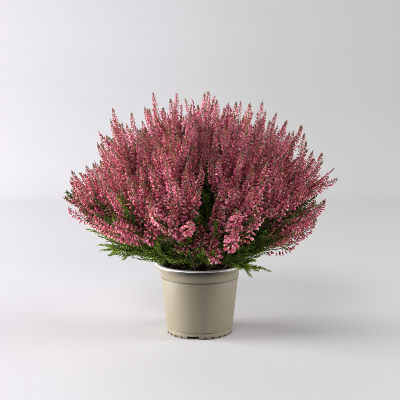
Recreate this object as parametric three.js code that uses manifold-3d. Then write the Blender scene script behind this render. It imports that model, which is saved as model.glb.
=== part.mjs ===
// A potted heather: a bushy Calluna in flower, in a 12 cm nursery pot filled with peat.
// Millimetres, +Z up, origin on the ground under the pot's axis, -Y towards the front.
import * as THREE from "three";
import { mergeVertices } from "three/addons/utils/BufferGeometryUtils.js";
import Module from "manifold-3d";

const wasm = await Module();
wasm.setup();

// ---- Driving dimensions ----

const GAP = 0.3; // left between pieces that touch

// The pot: a thin tapered cup with a foot ring, a raised base, two moulded lines and a turned-over lip.
const POT_HEIGHT = 95;
const LIP_RADIUS = 60;
const LIP_DROP = 4.2;
const LIP_SKIN = 1.3;
const LIP_EDGE = 0.6;
const WALL = 1.3;
const NECK_RADIUS = 54.8; // outside of the wall, just under the lip
const BAND_Z = 77.8; // the upper moulded line
const BAND_RADIUS = 53.2;
const BAND_STEP = 0.6;
const FOOT_LINE_Z = 8.8; // the lower moulded line
const FOOT_LINE_RADIUS = 45.6;
const FOOT_STEP = 0.5;
const FOOT_RADIUS = 44.6;
const FOOT_WIDTH = 2.6;
const BASE_Z = 4.2; // underside of the raised base
const POT_FACETS = 32;

// Drainage: notches through the foot ring, in three like groups, and slots through the base.
const DRAIN_GROUPS = 3;
const DRAIN_FIRST = -11; // degrees from the front, of the first wide notch
const WIDE_NOTCH = { width: 16, height: 3.2 };
const SMALL_NOTCH = { width: 2.4, height: 2.4 };
const SMALL_NOTCHES = 7; // in each group
const SMALL_NOTCH_FIRST = 21; // degrees from the wide notch
const SMALL_NOTCH_PITCH = 13;
const BASE_SLOT = { width: 12, inner: 24, outer: 38 };

// The peat fills the pot to a little under its lip, higher in the middle and a little lumpy.
const SOIL_LEVEL = 86.5;
const SOIL_MOUND = 3.5;
const SOIL_LUMP = 0.9;
const SOIL_FACETS = POT_FACETS / 2;
const SOIL_RINGS = 3;

// Stalks are four-sided and rooted in the peat, with leaves and buds drawn out of their corners.
const SIDES = 4;
const WHORL_TWIST = 0.32; // radians from one whorl to the next
const ROOT_DEPTH = 13;
const HOLE_CLEARANCE = 0.4;
const HOLE_LENGTH = 18; // from the root's end to over the peat
const STEM = { foot: 1.5, top: 1.1, tip: 0.8, bareLength: 30, woodLength: 21 };
const LEAF = { reach: 3.2, rise: 3.6, pitch: 11.6, leastShare: 0.6, clearOfFlowers: 5 };
const BUD = { reach: 3.9, rise: 4.6, pitch: 10.4, leastReach: 0.9, leastRise: 2.2, clearOfLeaves: 6 };
const SPIKE_CORE = { full: 1.9, tip: 0.6 };

// Side branches: where the first and last may leave their stem, as a share of what carries them, the radius
// of their own foot, the share of them that is bare, and the least and most of their length and spread.
const SIDE_SHOOT = { first: 0.42, last: 0.9, foot: 0.7, bare: 0.2, length: [30, 42], spread: [17, 25] };
const LOW_SIDE_SHOOT = { count: 3, first: 0.42, last: 0.82, length: 34, spread: 19 };
const SIDE_SPIKE = { last: 0.8, foot: 0.8, bare: 0.2, length: [0.72, 0.95], spread: [0.85, 1.1] };
const GOLDEN_TURN = 2.4; // radians from one side shoot to the next round a stem
const BEND_AT = 0.3; // the bend of a side branch, as a share of its length and of its spread
const BEND_OUT = 0.62;

// The shoots stand in rings. Each ring gives their number, the turn of the first one from the front, how far
// out and how high their tips reach, where they root, the length that flowers, how far their side spikes
// spread, and the number of side shoots and side spikes.
const RINGS = [
  { count: 1, first: 60, reach: 7, top: 324, root: 0, flower: 114, spread: 26, shoots: 0, spikes: 3 },
  { count: 4, first: -38, reach: 64, top: 309, root: 12, flower: 110, spread: 28, shoots: 0, spikes: 3 },
  { count: 8, first: -17.5, reach: 121, top: 288, root: 21, flower: 108, spread: 31, shoots: 2, spikes: 4 },
  { count: 12, first: -10, reach: 170, top: 224, root: 33, flower: 100, spread: 30, shoots: 3, spikes: 4 },
];
const TURN_SCATTER = 3.5; // degrees
const REACH_SCATTER = 7;
const TOP_SCATTER = 14;
const FULL_SCATTER_REACH = 60; // shoots that reach less than this scatter less
const SWAY = 6;
const FOOT_LEAN = 1.12; // lean of a stem at the soil and at its tip, against the straight line between them
const TIP_LEAN = 0.72;
const HANDLE = 0.36; // length of a curve's handles against its chord

// Low leafy shoots that arch out over the lip: their turn from the front, and their tips' reach and height.
const LOW_SHOOTS = [
  { turn: -55, reach: 118, top: 113 },
  { turn: 38, reach: 104, top: 94 },
  { turn: 95, reach: 122, top: 110 },
  { turn: 155, reach: 116, top: 116 },
  { turn: 215, reach: 120, top: 111 },
  { turn: 275, reach: 122, top: 107 },
];
const LOW_ROOT = 41;
const LOW_LEAN = 34; // degrees from upright at the soil
const LOW_RISE = 38;
const LOW_CREST = { share: 0.7, height: 20 }; // of the way out, and above the lip or the tip

const SEED = 18;
const LOW_STREAM = 100; // the first stream of random draws for the low shoots

// ---- Colours ----

const potPlastic = new THREE.MeshStandardMaterial({ color: 0xbdb298, roughness: 0.55, metalness: 0 });
const peat = new THREE.MeshStandardMaterial({ color: 0x2e211c, roughness: 1, metalness: 0 });
const foliage = new THREE.MeshStandardMaterial({ color: 0x3f6122, roughness: 0.7, metalness: 0 });
const blossom = new THREE.MeshStandardMaterial({ color: 0xc9527a, roughness: 0.7, metalness: 0 });

// ---- Helpers ----

const radians = THREE.MathUtils.degToRad;
const mix = THREE.MathUtils.lerp;

// Draws from 0 to 1 that are the same on every run, in a stream of its own for each number.
function draws(stream) {
  let state = (SEED * (stream + 1) * 7919) % 2147483647;
  const next = () => {
    state = (state * 16807) % 2147483647;
    return state / 2147483647;
  };
  for (let i = 0; i < 3; i++) next();
  return next;
}

// The level direction at a turn from the front, towards the right.
function outwards(turn) {
  return new THREE.Vector3(Math.sin(radians(turn)), -Math.cos(radians(turn)), 0);
}

// The direction that leans away from the vertical towards a level direction.
function leaning(level, lean) {
  return level.clone().multiplyScalar(Math.sin(lean)).setZ(Math.cos(lean));
}

function solid(geometry) {
  geometry.deleteAttribute("normal");
  geometry.deleteAttribute("uv");
  const merged = mergeVertices(geometry, 1e-4);
  return new wasm.Manifold(
    new wasm.Mesh({
      numProp: 3,
      vertProperties: new Float32Array(merged.attributes.position.array),
      triVerts: new Uint32Array(merged.index.array),
    }),
  );
}

function geometryOf(manifold) {
  const { vertProperties, triVerts } = manifold.getMesh();
  const geometry = new THREE.BufferGeometry();
  geometry.setAttribute("position", new THREE.BufferAttribute(vertProperties, 3));
  geometry.setIndex(new THREE.BufferAttribute(triVerts, 1));
  geometry.computeVertexNormals();
  return geometry;
}

function named(name, manifold, material) {
  const mesh = new THREE.Mesh(geometryOf(manifold), material);
  mesh.name = name;
  return mesh;
}

// A profile of [radius, height] pairs turned about the Z axis.
function turned(profile, facets) {
  const points = profile.map(([radius, z]) => new THREE.Vector2(radius, z));
  return new THREE.LatheGeometry(points, facets).rotateX(Math.PI / 2);
}

// A block whose middle stands at a turn from the front and a distance from the axis.
function blockAt(turn, distance, width, depth, bottom, top) {
  const block = new THREE.BoxGeometry(width, depth, top - bottom);
  block.translate(0, -distance, (top + bottom) / 2).rotateZ(radians(turn));
  return solid(block);
}

// ---- Pot and soil ----

function wallRadius(z) {
  return mix(FOOT_LINE_RADIUS, BAND_RADIUS, (z - FOOT_LINE_Z) / (BAND_Z - FOOT_LINE_Z)) - WALL;
}

function makePot() {
  const lipUnder = POT_HEIGHT - LIP_DROP;
  const lipRoof = POT_HEIGHT - LIP_SKIN;
  const profile = [
    [0, BASE_Z],
    [FOOT_RADIUS - FOOT_WIDTH, BASE_Z],
    [FOOT_RADIUS - FOOT_WIDTH, 0],
    [FOOT_RADIUS, 0],
    [FOOT_LINE_RADIUS - FOOT_STEP, FOOT_LINE_Z],
    [FOOT_LINE_RADIUS, FOOT_LINE_Z + FOOT_STEP],
    [BAND_RADIUS - BAND_STEP, BAND_Z - BAND_STEP],
    [BAND_RADIUS, BAND_Z],
    [NECK_RADIUS, lipRoof],
    [LIP_RADIUS - LIP_SKIN, lipRoof],
    [LIP_RADIUS - LIP_SKIN, lipUnder],
    [LIP_RADIUS, lipUnder],
    [LIP_RADIUS, POT_HEIGHT - LIP_EDGE],
    [LIP_RADIUS - LIP_EDGE, POT_HEIGHT],
    [NECK_RADIUS - WALL + LIP_EDGE, POT_HEIGHT],
    [NECK_RADIUS - WALL, POT_HEIGHT - LIP_EDGE],
    [wallRadius(BAND_Z), BAND_Z],
    [wallRadius(BASE_Z + WALL), BASE_Z + WALL],
    [0, BASE_Z + WALL],
  ];
  let pot = solid(turned(profile, POT_FACETS));
  const ringMiddle = FOOT_RADIUS - FOOT_WIDTH / 2;
  const through = 3 * FOOT_WIDTH;
  for (let group = 0; group < DRAIN_GROUPS; group++) {
    const turn = DRAIN_FIRST + (360 / DRAIN_GROUPS) * group;
    const { width, inner, outer } = BASE_SLOT;
    pot = pot.subtract(blockAt(turn, ringMiddle, WIDE_NOTCH.width, through, -WALL, WIDE_NOTCH.height));
    pot = pot.subtract(blockAt(turn, (inner + outer) / 2, width, outer - inner, 0, BASE_Z + 2 * WALL));
    for (let i = 0; i < SMALL_NOTCHES; i++) {
      const at = turn + SMALL_NOTCH_FIRST + SMALL_NOTCH_PITCH * i;
      pot = pot.subtract(blockAt(at, ringMiddle, SMALL_NOTCH.width, through, -WALL, SMALL_NOTCH.height));
    }
  }
  return named("pot", pot, potPlastic);
}

// Height of the peat at a distance from the axis and an angle.
function soilHeight(radius, angle) {
  const mound = SOIL_MOUND * (1 - (radius / NECK_RADIUS) ** 2);
  const lumps = Math.sin(0.31 * radius + 3 * angle) + Math.sin(0.19 * radius - 5 * angle);
  return SOIL_LEVEL + mound + (SOIL_LUMP / 2) * lumps;
}

function makeSoil(stems) {
  const bottom = BASE_Z + WALL + GAP;
  const rim = wallRadius(SOIL_LEVEL) - GAP;
  const profile = [
    [0, bottom],
    [wallRadius(bottom) - GAP, bottom],
  ];
  for (let i = 0; i <= SOIL_RINGS; i++) profile.push([rim * (1 - i / SOIL_RINGS), SOIL_LEVEL]);
  const body = turned(profile, SOIL_FACETS);
  const place = body.attributes.position;
  for (let i = 0; i < place.count; i++) {
    if (place.getZ(i) < SOIL_LEVEL - GAP) continue;
    const radius = Math.hypot(place.getX(i), place.getY(i));
    const angle = radius > GAP ? Math.atan2(place.getY(i), place.getX(i)) : 0;
    place.setZ(i, soilHeight(radius, angle));
  }
  const holes = stems.map(({ curve, side }) => {
    const radius = (STEM.foot + HOLE_CLEARANCE) * Math.SQRT2;
    const steps = [0, HOLE_LENGTH].map((depth) => bare(depth / curve.getLength(), radius));
    return stalk(curve, steps, side, true);
  });
  return named("soil", solid(body).subtract(wasm.Manifold.union(holes)), peat);
}

// ---- Stalks ----

// A closed skin round a curve. Each whorl is a ring of corners, of which every second one is drawn out and up
// into a leaf or bud, in turn from one whorl to the next. The skin ends in a point or, if blunt, a flat face.
function stalk(curve, whorls, side, blunt) {
  const points = [];
  const faces = [];
  whorls.forEach(({ at, radius, reach, rise }, i) => {
    const centre = curve.getPoint(at);
    const along = curve.getTangent(at);
    const across = side.clone().addScaledVector(along, -side.dot(along)).normalize();
    const upright = along.clone().cross(across);
    for (let k = 0; k < SIDES; k++) {
      const angle = (2 * Math.PI * k) / SIDES + WHORL_TWIST * i;
      const drawn = (i + k) % 2 === 0;
      const point = centre.clone();
      point.addScaledVector(across, Math.cos(angle) * (radius + (drawn ? reach : 0)));
      point.addScaledVector(upright, Math.sin(angle) * (radius + (drawn ? reach : 0)));
      point.addScaledVector(along, drawn ? rise : 0);
      points.push(...point.toArray());
    }
  });
  for (let i = 0; i + 1 < whorls.length; i++) {
    for (let k = 0; k < SIDES; k++) {
      const a = i * SIDES + k;
      const b = i * SIDES + ((k + 1) % SIDES);
      const c = b + SIDES;
      const d = a + SIDES;
      if ((i + k) % 2 === 0) faces.push(a, b, d, b, c, d);
      else faces.push(a, b, c, a, c, d);
    }
  }
  for (let k = 1; k + 1 < SIDES; k++) faces.push(0, k + 1, k);
  const last = (whorls.length - 1) * SIDES;
  if (blunt) {
    for (let k = 1; k + 1 < SIDES; k++) faces.push(last, last + k, last + k + 1);
  } else {
    points.push(...curve.getPoint(1).toArray());
    for (let k = 0; k < SIDES; k++) faces.push(last + k, last + ((k + 1) % SIDES), whorls.length * SIDES);
  }
  const geometry = new THREE.BufferGeometry();
  geometry.setAttribute("position", new THREE.Float32BufferAttribute(points, 3));
  geometry.setIndex(faces);
  return solid(geometry);
}

// Whorls at an even pitch along a stretch of a curve, the drawn corners shorter towards a pointed end.
function whorlsAlong(length, from, to, pitch, size) {
  const count = Math.max(2, Math.round(((to - from) * length) / pitch));
  const whorls = [];
  for (let i = 0; i < count; i++) {
    const share = i / count;
    whorls.push({ at: mix(from, to, share), ...size(share) });
  }
  return whorls;
}

const bare = (at, radius) => ({ at, radius, reach: 0, rise: 0 });

function leafSize(share) {
  const reach = LEAF.reach * mix(1, LEAF.leastShare, share);
  return { radius: mix(STEM.top, STEM.tip, share), reach, rise: LEAF.rise };
}

// Buds keep their size for most of a spike and shrink fast at its tip.
function budSize(share) {
  const full = 1 - share ** 3;
  return {
    radius: mix(SPIKE_CORE.tip, SPIKE_CORE.full, full),
    reach: mix(BUD.leastReach, BUD.reach, full),
    rise: mix(BUD.leastRise, BUD.rise, full),
  };
}

// ---- Shoots ----

// One shoot's curve from the end of its root to its tip, fanning out in a ring.
function fanCurve(turn, reach, top, root, sway) {
  const level = outwards(turn);
  const foot = level.clone().multiplyScalar(root);
  foot.z = SOIL_LEVEL + SOIL_MOUND * (1 - (root / NECK_RADIUS) ** 2);
  const tip = level.clone().multiplyScalar(reach).setZ(top);
  const straight = Math.atan2(reach - root, top - foot.z);
  const start = leaning(level, straight * FOOT_LEAN);
  const end = leaning(level, straight * TIP_LEAN);
  foot.addScaledVector(start, -ROOT_DEPTH);
  const handle = HANDLE * tip.distanceTo(foot);
  const beforeTip = tip.clone().addScaledVector(end, -handle).addScaledVector(outwards(turn + 90), sway);
  return new THREE.CubicBezierCurve3(foot, foot.clone().addScaledVector(start, handle), beforeTip, tip);
}

// A low shoot's curve: up out of the peat, over the lip and down to its tip.
function lowCurve(turn, reach, top) {
  const level = outwards(turn);
  const start = leaning(level, radians(LOW_LEAN));
  const foot = level.clone().multiplyScalar(LOW_ROOT).setZ(SOIL_LEVEL + SOIL_MOUND / 2);
  foot.addScaledVector(start, -ROOT_DEPTH);
  const crest = level.clone().multiplyScalar(mix(LOW_ROOT, reach, LOW_CREST.share));
  crest.z = Math.max(top, POT_HEIGHT) + LOW_CREST.height;
  const tip = level.clone().multiplyScalar(reach).setZ(top);
  return new THREE.CubicBezierCurve3(foot, foot.clone().addScaledVector(start, LOW_RISE), crest, tip);
}

// A side branch leaves its stem at a slant, at a bearing round it, and bends back to run beside it.
function branchCurve(stem, at, bearing, side, length, spread) {
  const foot = stem.getPoint(at);
  const along = stem.getTangent(at);
  const across = side.clone().addScaledVector(along, -side.dot(along)).normalize();
  const upright = along.clone().cross(across);
  const away = across.multiplyScalar(Math.cos(bearing)).addScaledVector(upright, Math.sin(bearing));
  const bend = foot.clone().addScaledVector(along, BEND_AT * length).addScaledVector(away, BEND_OUT * spread);
  const tip = foot.clone().addScaledVector(along, length).addScaledVector(away, spread);
  return new THREE.QuadraticBezierCurve3(foot, bend, tip);
}

// The woody foot of a stem, in its hole and a little above, and the leaves from there to a share of its curve.
function woodAndLeaves(stem, leafEnd) {
  const length = stem.getLength();
  const wood = [HOLE_CLEARANCE, STEM.woodLength].map((distance) => bare(distance / length, STEM.foot));
  return [...wood, ...whorlsAlong(length, STEM.bareLength / length, leafEnd, LEAF.pitch, leafSize)];
}

function sideShoot(stem, at, bearing, side, length, spread) {
  const curve = branchCurve(stem, at, bearing, side, length, spread);
  const leaves = whorlsAlong(curve.getLength(), SIDE_SHOOT.bare, 1, LEAF.pitch, leafSize);
  return stalk(curve, [bare(0, SIDE_SHOOT.foot), ...leaves], side, false);
}

// The green part of a shoot, up to the share of its curve where the flowers begin.
function leafyStem(stem, end, side, shoots, random) {
  const leafEnd = end - LEAF.clearOfFlowers / stem.getLength();
  const bodies = [stalk(stem, [...woodAndLeaves(stem, leafEnd), bare(end, STEM.top)], side, true)];
  for (let j = 0; j < shoots; j++) {
    const at = mix(SIDE_SHOOT.first, SIDE_SHOOT.last, (j + 0.6 * random()) / shoots) * end;
    const bearing = GOLDEN_TURN * j + 1.2 * (random() - 0.5);
    const length = mix(...SIDE_SHOOT.length, random());
    bodies.push(sideShoot(stem, at, bearing, side, length, mix(...SIDE_SHOOT.spread, random())));
  }
  return wasm.Manifold.union(bodies);
}

// The flowering part of a shoot: its own spike from a share of its curve on, and side spikes round it.
function flowerSpray(stem, start, side, { spread, spikes }, random) {
  const length = stem.getLength();
  const budStart = start + BUD.clearOfLeaves / length;
  const buds = whorlsAlong(length, budStart, 1, BUD.pitch, budSize);
  const bodies = [stalk(stem, [bare(start, STEM.top), ...buds], side, false)];
  const firstBearing = 2 * Math.PI * random();
  for (let j = 0; j < spikes; j++) {
    const at = mix(budStart, SIDE_SPIKE.last, (j + 0.5 * random()) / spikes);
    const bearing = firstBearing + (2 * Math.PI * (j + 0.4 * (random() - 0.5))) / spikes;
    const reach = (1 - at) * length * mix(...SIDE_SPIKE.length, random());
    const curve = branchCurve(stem, at, bearing, side, reach, spread * mix(...SIDE_SPIKE.spread, random()));
    const sideBuds = whorlsAlong(curve.getLength(), SIDE_SPIKE.bare, 1, BUD.pitch, budSize);
    bodies.push(stalk(curve, [bare(0, SIDE_SPIKE.foot), ...sideBuds], side, false));
  }
  return wasm.Manifold.union(bodies);
}

function lowShoot(stem, side, random) {
  const { count, first, last, length, spread } = LOW_SIDE_SHOOT;
  const bodies = [stalk(stem, woodAndLeaves(stem, 1), side, false)];
  for (let j = 0; j < count; j++) {
    const bearing = Math.PI * j + 0.5 * (random() - 0.5);
    bodies.push(sideShoot(stem, mix(first, last, (j + 0.6 * random()) / count), bearing, side, length, spread));
  }
  return wasm.Manifold.union(bodies);
}

// ---- The plant in its pot ----

const heather = new THREE.Group();
const stems = [];
const numbered = (name, i) => `${name}_${String(i).padStart(2, "0")}`;

for (const ring of RINGS) {
  for (let i = 0; i < ring.count; i++) {
    const random = draws(stems.length);
    const scatter = (most) => most * (2 * random() - 1) * Math.min(1, ring.reach / FULL_SCATTER_REACH);
    const turn = ring.first + (360 / ring.count) * i + TURN_SCATTER * (2 * random() - 1);
    const reach = ring.reach + scatter(REACH_SCATTER);
    const top = ring.top + scatter(TOP_SCATTER);
    const curve = fanCurve(turn, reach, top, ring.root, SWAY * (random() - 0.5));
    const side = outwards(turn + 90);
    const start = 1 - ring.flower / curve.getLength();
    const end = start - GAP / curve.getLength();
    stems.push({ curve, side });
    const leaves = leafyStem(curve, end, side, ring.shoots, random);
    const flowers = flowerSpray(curve, start, side, ring, random);
    heather.add(named(numbered("leafy_stem", stems.length), leaves, foliage));
    heather.add(named(numbered("flower_spray", stems.length), flowers, blossom));
  }
}

LOW_SHOOTS.forEach(({ turn, reach, top }, i) => {
  const curve = lowCurve(turn, reach, top);
  const side = outwards(turn + 90);
  stems.push({ curve, side });
  heather.add(named(numbered("low_shoot", i + 1), lowShoot(curve, side, draws(LOW_STREAM + i)), foliage));
});

heather.add(makePot());
heather.add(makeSoil(stems));

export default heather;
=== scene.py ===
import math

import bmesh
import bpy
import numpy as np
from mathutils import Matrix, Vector


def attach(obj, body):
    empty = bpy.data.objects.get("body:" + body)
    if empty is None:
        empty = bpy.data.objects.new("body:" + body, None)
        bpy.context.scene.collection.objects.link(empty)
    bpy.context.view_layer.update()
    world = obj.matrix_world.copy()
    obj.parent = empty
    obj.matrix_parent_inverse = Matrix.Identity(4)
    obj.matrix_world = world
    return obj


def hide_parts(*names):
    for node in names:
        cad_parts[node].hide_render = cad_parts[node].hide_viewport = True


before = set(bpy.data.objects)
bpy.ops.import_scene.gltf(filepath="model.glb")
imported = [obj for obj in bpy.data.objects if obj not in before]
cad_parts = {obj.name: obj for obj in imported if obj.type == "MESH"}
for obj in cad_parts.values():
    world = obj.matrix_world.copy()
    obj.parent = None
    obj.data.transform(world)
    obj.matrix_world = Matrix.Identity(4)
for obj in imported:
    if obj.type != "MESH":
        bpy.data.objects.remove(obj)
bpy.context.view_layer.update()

# A potted heather: a bushy Calluna in flower, in a 12 cm nursery pot filled with peat.
# Sizes are in millimetres here and become metres where a mesh is made. -Y is the front.
MM = 0.001

# ---- Layout, as in the part's source ----

GAP = 0.3
POT_HEIGHT, LIP_RADIUS, LIP_DROP, LIP_SKIN, LIP_EDGE, WALL = 95, 60, 4.2, 1.3, 0.6, 1.3
NECK_RADIUS, BAND_Z, BAND_RADIUS, BAND_STEP = 54.8, 77.8, 53.2, 0.6
FOOT_LINE_Z, FOOT_LINE_RADIUS, FOOT_STEP = 8.8, 45.6, 0.5
FOOT_RADIUS, FOOT_WIDTH, BASE_Z = 44.6, 2.6, 4.2
DRAIN_FIRST, SMALL_NOTCH_FIRST, SMALL_NOTCH_PITCH = -11, 21, 13
SOIL_LEVEL, SOIL_MOUND, SOIL_LUMP = 86.5, 3.5, 0.9

ROOT_DEPTH = 13
STEM_FOOT, WOOD_LENGTH, BARE_LENGTH = 1.5, 21, 30
GOLDEN_TURN = 2.4
BEND_AT, BEND_OUT = 0.3, 0.62
FOOT_LEAN, TIP_LEAN, HANDLE, SWAY = 1.12, 0.72, 0.36, 6
RINGS = [
    dict(count=1, first=60, reach=7, top=324, root=0, flower=114, spread=26, shoots=0, spikes=3),
    dict(count=4, first=-38, reach=64, top=309, root=12, flower=110, spread=28, shoots=0, spikes=3),
    dict(count=8, first=-17.5, reach=121, top=288, root=21, flower=108, spread=31, shoots=2, spikes=4),
    dict(count=12, first=-10, reach=170, top=224, root=33, flower=100, spread=30, shoots=3, spikes=4),
]
# Turn, reach and height of the tip of each low shoot, and the one that hangs out over the lip.
LOW_SHOOTS = [(-55, 118, 113), (38, 104, 94), (95, 122, 110), (155, 116, 116), (215, 120, 111),
              (275, 122, 107)]
HANGING = 1
LOW_ROOT, LOW_LEAN, LOW_RISE = 41, 34, 38
SEED, LOW_STREAM = 18, 100


def mix(a, b, share):
    return a + (b - a) * share


def draws(stream):
    """The part's own random draws, one stream for each shoot."""
    state = (SEED * (stream + 1) * 7919) % 2147483647

    def draw():
        nonlocal state
        state = state * 16807 % 2147483647
        return state / 2147483647

    for _ in range(3):
        draw()
    return draw


def unit(v):
    return v / np.maximum(np.linalg.norm(v, axis=-1, keepdims=True), 1e-9)


def outwards(turn):
    a = math.radians(turn)
    return np.array([math.sin(a), -math.cos(a), 0.0])


def leaning(level, lean):
    return level * math.sin(lean) + np.array([0, 0, math.cos(lean)])


class Curve:
    """A Bezier curve with the level direction that its leaves and buds are turned from."""

    def __init__(self, points, side):
        self.points = np.array(points, float)
        self.side = np.array(side, float)
        steps = self.at(np.linspace(0, 1, 201))
        self.length = float(np.linalg.norm(np.diff(steps, axis=0), axis=1).sum())

    def at(self, t):
        t = np.atleast_1d(np.asarray(t, float))[:, None]
        rows = [np.broadcast_to(p, (len(t), 3)) for p in self.points]
        while len(rows) > 1:
            rows = [a * (1 - t) + b * t for a, b in zip(rows, rows[1:])]
        return rows[0]

    def along(self, t):
        t = np.atleast_1d(np.asarray(t, float))[:, None]
        rows = [np.broadcast_to(p, (len(t), 3)) for p in np.diff(self.points, axis=0)]
        while len(rows) > 1:
            rows = [a * (1 - t) + b * t for a, b in zip(rows, rows[1:])]
        return unit(rows[0])

    def frames(self, t):
        along = self.along(t)
        across = unit(self.side - (along @ self.side)[:, None] * along)
        return self.at(t), along, across, np.cross(along, across)

    def branch(self, at, bearing, length, spread):
        foot, along, across, upright = (v[0] for v in self.frames(at))
        away = across * math.cos(bearing) + upright * math.sin(bearing)
        bend = foot + along * BEND_AT * length + away * BEND_OUT * spread
        return Curve([foot, bend, foot + along * length + away * spread], self.side)

    def branch_to(self, at, tip):
        """A side branch that swings out and ends at a point, more upright than the stem."""
        foot, along = self.at(at)[0], self.along(at)[0]
        end = unit(along + [0, 0, 1.1])
        return Curve([foot, tip - end * 0.48 * np.linalg.norm(tip - foot), tip], self.side)


def fan_curve(turn, reach, top, root, sway):
    level, side = outwards(turn), outwards(turn + 90)
    foot = level * root + [0, 0, SOIL_LEVEL + SOIL_MOUND * (1 - (root / NECK_RADIUS) ** 2)]
    tip = level * reach + [0, 0, top]
    straight = math.atan2(reach - root, top - foot[2])
    start, end = leaning(level, straight * FOOT_LEAN), leaning(level, straight * TIP_LEAN)
    foot = foot - start * ROOT_DEPTH
    handle = HANDLE * np.linalg.norm(tip - foot)
    return Curve([foot, foot + start * handle, tip - end * handle + side * sway, tip], side)


def low_curve(turn, reach, top):
    level = outwards(turn)
    start = leaning(level, math.radians(LOW_LEAN))
    foot = level * LOW_ROOT + [0, 0, SOIL_LEVEL + SOIL_MOUND / 2] - start * ROOT_DEPTH
    crest = level * mix(LOW_ROOT, reach, 0.7) + [0, 0, max(top, POT_HEIGHT) + 20]
    tip = level * reach + [0, 0, top]
    return Curve([foot, foot + start * LOW_RISE, crest, tip], outwards(turn + 90))


def grow_shoots():
    """Every shoot of the part: its curve, where its flowers begin, and its side shoots and side spikes."""
    shoots = []
    for ring in RINGS:
        for i in range(ring["count"]):
            draw = draws(len(shoots))

            def scatter(most):
                return most * (2 * draw() - 1) * min(1, ring["reach"] / 60)

            turn = ring["first"] + 360 / ring["count"] * i + 3.5 * (2 * draw() - 1)
            reach = ring["reach"] + scatter(7)
            top = ring["top"] + scatter(14)
            stem = fan_curve(turn, reach, top, ring["root"], SWAY * (draw() - 0.5))
            start = 1 - ring["flower"] / stem.length
            end = start - GAP / stem.length
            sides = []
            for j in range(ring["shoots"]):
                at = mix(0.42, 0.9, (j + 0.6 * draw()) / ring["shoots"]) * end
                bearing = GOLDEN_TURN * j + 1.2 * (draw() - 0.5)
                length = mix(30, 42, draw())
                sides.append(stem.branch(at, bearing, length, mix(17, 25, draw())))
            bud_start = start + 6 / stem.length
            first = 2 * math.pi * draw()
            spikes = []
            for j in range(ring["spikes"]):
                at = mix(bud_start, 0.8, (j + 0.5 * draw()) / ring["spikes"])
                bearing = first + 2 * math.pi * (j + 0.4 * (draw() - 0.5)) / ring["spikes"]
                reach = (1 - at) * stem.length * mix(0.72, 0.95, draw())
                spikes.append(stem.branch(at, bearing, reach, ring["spread"] * mix(0.85, 1.1, draw())))
            shoots.append(dict(stem=stem, start=start, sides=sides, spikes=spikes, turn=turn, ring=ring))
    return shoots


def grow_low_shoots():
    lows = []
    for i, (turn, reach, top) in enumerate(LOW_SHOOTS):
        stem, draw = low_curve(turn, reach, top), draws(LOW_STREAM + i)
        sides = []
        for j in range(3):
            bearing = math.pi * j + 0.5 * (draw() - 0.5)
            sides.append(stem.branch(mix(0.42, 0.82, (j + 0.6 * draw()) / 3), bearing, 34, 19))
        lows.append(dict(stem=stem, sides=sides, turn=turn))
    return lows


# ---- Modelling by hand ----


def begin(add, name, **settings):
    """Adds a primitive with nothing else selected."""
    if bpy.context.object and bpy.context.object.mode != "OBJECT":
        bpy.ops.object.mode_set(mode="OBJECT")
    bpy.ops.object.select_all(action="DESELECT")
    add(**settings)
    piece = bpy.context.object
    piece.name = piece.data.name = name
    return piece


def pick(piece, wanted):
    """In edit mode, selects the vertices that wanted() takes, and nothing else."""
    bpy.ops.mesh.select_all(action="DESELECT")
    mesh = bmesh.from_edit_mesh(piece.data)
    for v in mesh.verts:
        v.select = bool(wanted(v.co))
    mesh.select_flush(True)
    bmesh.update_edit_mesh(piece.data)


def edit(piece):
    bpy.context.view_layer.objects.active = piece
    piece.select_set(True)
    bpy.ops.object.mode_set(mode="EDIT")
    bpy.ops.mesh.select_mode(type="VERT")


def leave():
    bpy.ops.object.mode_set(mode="OBJECT")


def apply_modifiers(piece):
    bpy.ops.object.select_all(action="DESELECT")
    piece.select_set(True)
    bpy.context.view_layer.objects.active = piece
    for modifier in list(piece.modifiers):
        bpy.ops.object.modifier_apply(modifier=modifier.name)


def spindle(name, sides, rings, flat=1.0, lean=0.0):
    """A pointed closed shape that stands on its foot at the origin. rings holds (height, radius) from the
    foot up, the first and last of them points. Drawn up from a circle, ring by ring, both ends merged."""
    (height, radius), top = rings[1], rings[-1][0]
    shape = begin(bpy.ops.mesh.primitive_circle_add, name, vertices=sides, radius=radius,
                  fill_type="NOTHING")
    edit(shape)
    bpy.ops.mesh.select_all(action="SELECT")
    bpy.ops.transform.resize(value=(1, flat, 1), center_override=(0, 0, 0))
    bpy.ops.transform.translate(value=(0, lean * height * height, height))
    bpy.ops.mesh.extrude_edges_move(TRANSFORM_OT_translate={"value": (0, -lean * height * height, -height)})
    bpy.ops.mesh.merge(type="CENTER")
    was, wide = height, radius
    pick(shape, lambda co: abs(co.z - was) < 1e-4)
    for height, radius in rings[2:]:
        step = (0, lean * (height * height - was * was), height - was)
        bpy.ops.mesh.extrude_edges_move(TRANSFORM_OT_translate={"value": step})
        if radius:
            centre = (0, lean * height * height, height)
            bpy.ops.transform.resize(value=(radius / wide, radius / wide, 1), center_override=centre)
        was, wide = height, radius
    bpy.ops.mesh.merge(type="CENTER")
    bpy.ops.mesh.select_all(action="SELECT")
    bpy.ops.mesh.normals_make_consistent(inside=False)
    leave()
    return taken(shape)


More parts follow.
